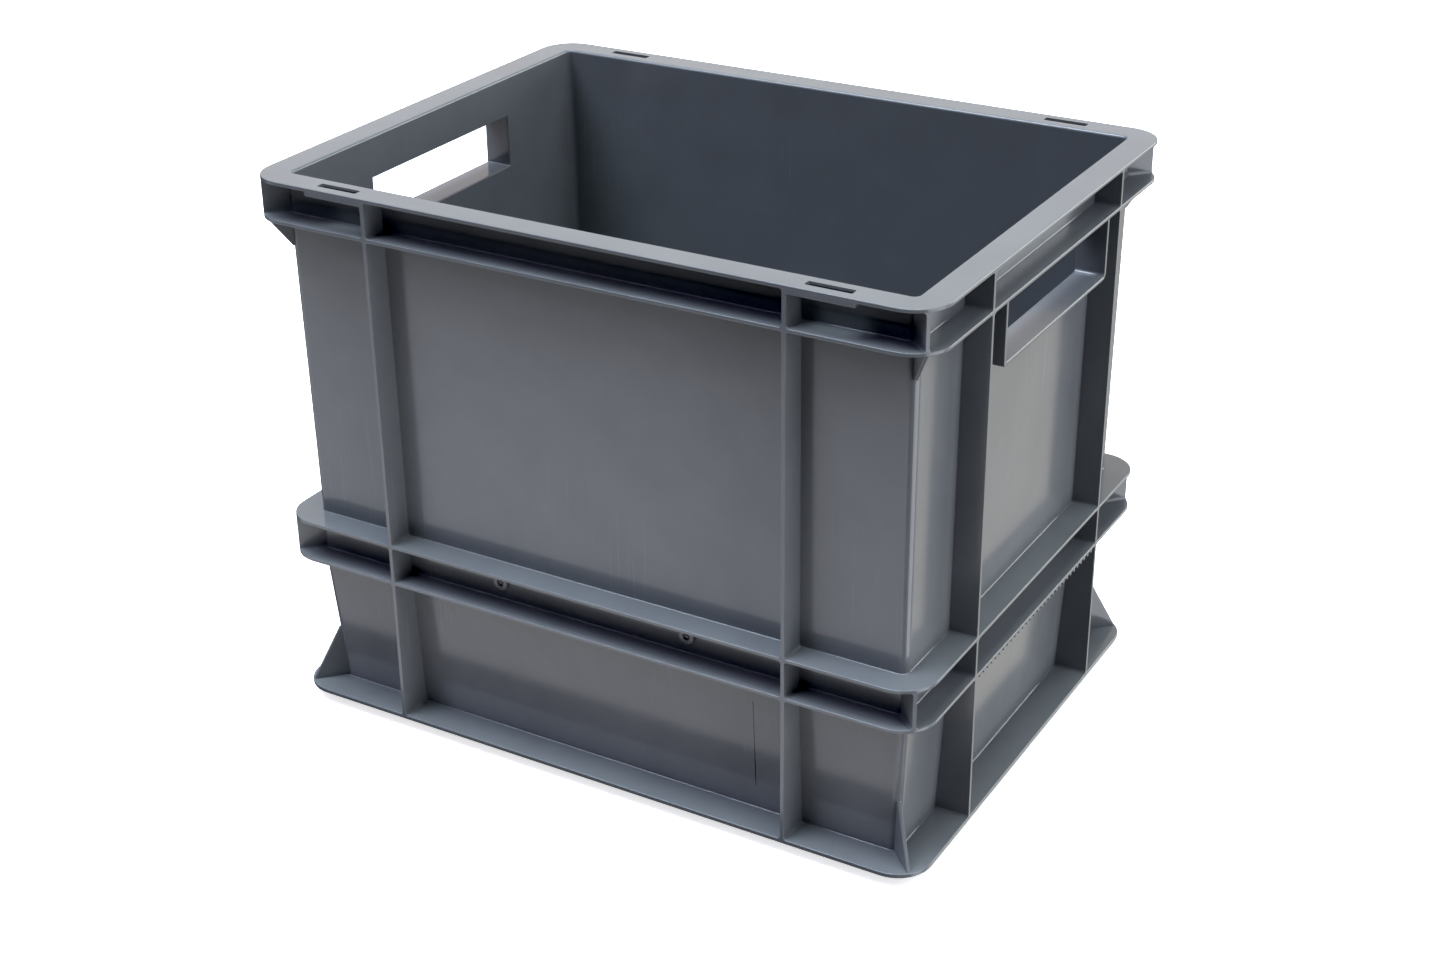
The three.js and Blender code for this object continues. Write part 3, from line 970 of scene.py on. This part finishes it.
WHITE = (1.0, 1.0, 1.0, 1.0)
FLOOR_RADIUS = 14.0
PAPER_GLOW = 0.7  # how brightly the paper is lit through from below
BLACK_LEVEL = 0.008  # what shows as black
GLOW_AT = (-0.38, -0.45, 0.002)
GLOW_SIZE = (1.3, 0.54)
GLOW_WATTS = 3.0
GLOW_COLOUR = (0.96, 0.96, 1.0)

# Soft lamps: azimuth from +X, elevation and spread in degrees, strength, and colour.
# Those below the floor stand for the light that a studio's paper throws up, which the floor lets through.
LAMPS = (
    (216, 70, 30, 3.27, (0.73, 0.86, 1.00)),
    (0, 90, 30, 3.22, (0.86, 1.00, 1.00)),
    (0, -12, 56, 2.67, (0.92, 0.95, 1.00)),
    (60, 6, 40, 2.20, (0.92, 0.97, 1.00)),
    (0, 48, 36, 1.60, (0.84, 0.90, 1.00)),
    (230, 50, 34, 0.97, (0.72, 0.72, 1.00)),
    (120, 27, 50, 0.55, (1.00, 0.88, 0.82)),
    (60, -27, 42, 0.35, (1.00, 0.94, 0.82)),
)


class CRATE_OT_stage(bpy.types.Operator):
    """Floor, lights and camera"""

    bl_idname = "crate.stage"
    bl_label = "Stage"
    bl_options = {"REGISTER", "UNDO"}

    def execute(self, context):
        self.floor()
        self.sky(context.scene)
        self.camera(context.scene)
        for settings in LAMPS:
            self.lamp(*settings)
        self.paper_glow()
        view = context.scene.view_settings
        view.view_transform = "Standard"
        view.use_curve_mapping = True
        view.curve_mapping.black_level = (BLACK_LEVEL,) * 3
        view.curve_mapping.update()
        return {"FINISHED"}

    def floor(self):
        """White paper, seen by the camera only, so that the lamps alone light the crate."""
        bm = bmesh.new()
        bmesh.ops.create_circle(bm, cap_ends=True, segments=96, radius=FLOOR_RADIUS)
        mesh = bpy.data.meshes.new("studio_floor")
        bm.to_mesh(mesh)
        bm.free()
        obj = bpy.data.objects.new("studio_floor", mesh)
        bpy.context.scene.collection.objects.link(obj)
        mesh.materials.append(matt_paper())
        obj.visible_diffuse = False
        obj.visible_glossy = False
        obj.visible_shadow = False

    def sky(self, scene):
        """White to the camera, and no light of its own, because the lamps do the lighting."""
        world = bpy.data.worlds.new("studio")
        world.use_nodes = True
        tree = world.node_tree
        tree.nodes.clear()
        path = node(tree, "ShaderNodeLightPath")
        seen = node(
            tree, "ShaderNodeBackground", {"Color": WHITE}, {"Strength": path.outputs["Is Camera Ray"]}
        )
        node(tree, "ShaderNodeOutputWorld", links={"Surface": seen.outputs["Background"]})
        scene.world = world

    def lamp(self, azimuth, elevation, spread, strength, tint):
        """One soft lamp far away, shining on the crate from an azimuth and elevation."""
        name = f"lamp_{azimuth}_{elevation}"
        data = bpy.data.lights.new(name, "SUN")
        data.angle = math.radians(spread)
        data.energy = strength
        data.color = tint
        obj = bpy.data.objects.new(name, data)
        a, e = math.radians(azimuth), math.radians(elevation)
        towards = Vector((math.cos(e) * math.cos(a), math.cos(e) * math.sin(a), math.sin(e)))
        obj.rotation_euler = towards.to_track_quat("Z", "Y").to_euler()
        bpy.context.scene.collection.objects.link(obj)

    def paper_glow(self):
        """Light from the paper in front of the crate, which ends 0.72 m out and leaves the channels dark."""
        data = bpy.data.lights.new("paper_glow", "AREA")
        data.shape = "RECTANGLE"
        data.size, data.size_y = GLOW_SIZE
        data.energy = GLOW_WATTS
        data.color = GLOW_COLOUR
        obj = bpy.data.objects.new("paper_glow", data)
        obj.location = GLOW_AT
        obj.rotation_euler = (math.pi, 0, 0)
        obj.visible_camera = False
        bpy.context.scene.collection.objects.link(obj)

    def camera(self, scene):
        """The camera, turned by its bearing and tilt and then rolled about its own axis."""
        a, e, r = map(math.radians, (CAMERA_AZIMUTH, CAMERA_ELEVATION, CAMERA_ROLL))
        back = Vector((math.sin(a) * math.cos(e), -math.cos(a) * math.cos(e), math.sin(e)))
        right = Vector((math.cos(a), math.sin(a), 0))
        side = math.cos(r) * right + math.sin(r) * back.cross(right)
        data = bpy.data.cameras.new("camera")
        data.sensor_width = CAMERA_SENSOR
        data.lens = CAMERA_LENS
        obj = bpy.data.objects.new("camera", data)
        turn = Matrix((side, back.cross(side), back)).transposed()
        obj.matrix_world = Matrix.Translation(CAMERA_AT) @ turn.to_4x4()
        scene.collection.objects.link(obj)
        scene.camera = obj


class CRATE_PT_panel(bpy.types.Panel):
    """Lists the crate's pieces in the sidebar"""

    bl_label = "Stacking crate"
    bl_idname = "CRATE_PT_panel"
    bl_space_type = "VIEW_3D"
    bl_region_type = "UI"
    bl_category = "Crate"

    def draw(self, context):
        for operator in OPERATORS:
            self.layout.operator(operator.bl_idname)


OPERATORS = (
    CRATE_OT_top_band,
    CRATE_OT_mid_band,
    CRATE_OT_base_pan,
    CRATE_OT_walls,
    CRATE_OT_collars,
    CRATE_OT_ribs,
    CRATE_OT_corner_plates,
    CRATE_OT_stage,
)
CLASSES = (CrateSizes, CrateColours, *OPERATORS, CRATE_PT_panel)


def register():
    for cls in CLASSES:
        bpy.utils.register_class(cls)
    bpy.types.Scene.crate_sizes = bpy.props.PointerProperty(type=CrateSizes)
    bpy.types.Scene.crate_colours = bpy.props.PointerProperty(type=CrateColours)


def unregister():
    del bpy.types.Scene.crate_colours
    del bpy.types.Scene.crate_sizes
    for cls in reversed(CLASSES):
        bpy.utils.unregister_class(cls)


def main():
    """Builds the crate and the stage."""
    register()
    for name in ("top_band", "mid_band", "base_pan", "walls", "collars", "ribs", "corner_plates", "stage"):
        getattr(bpy.ops.crate, name)()


if __name__ == "__main__":
    main()
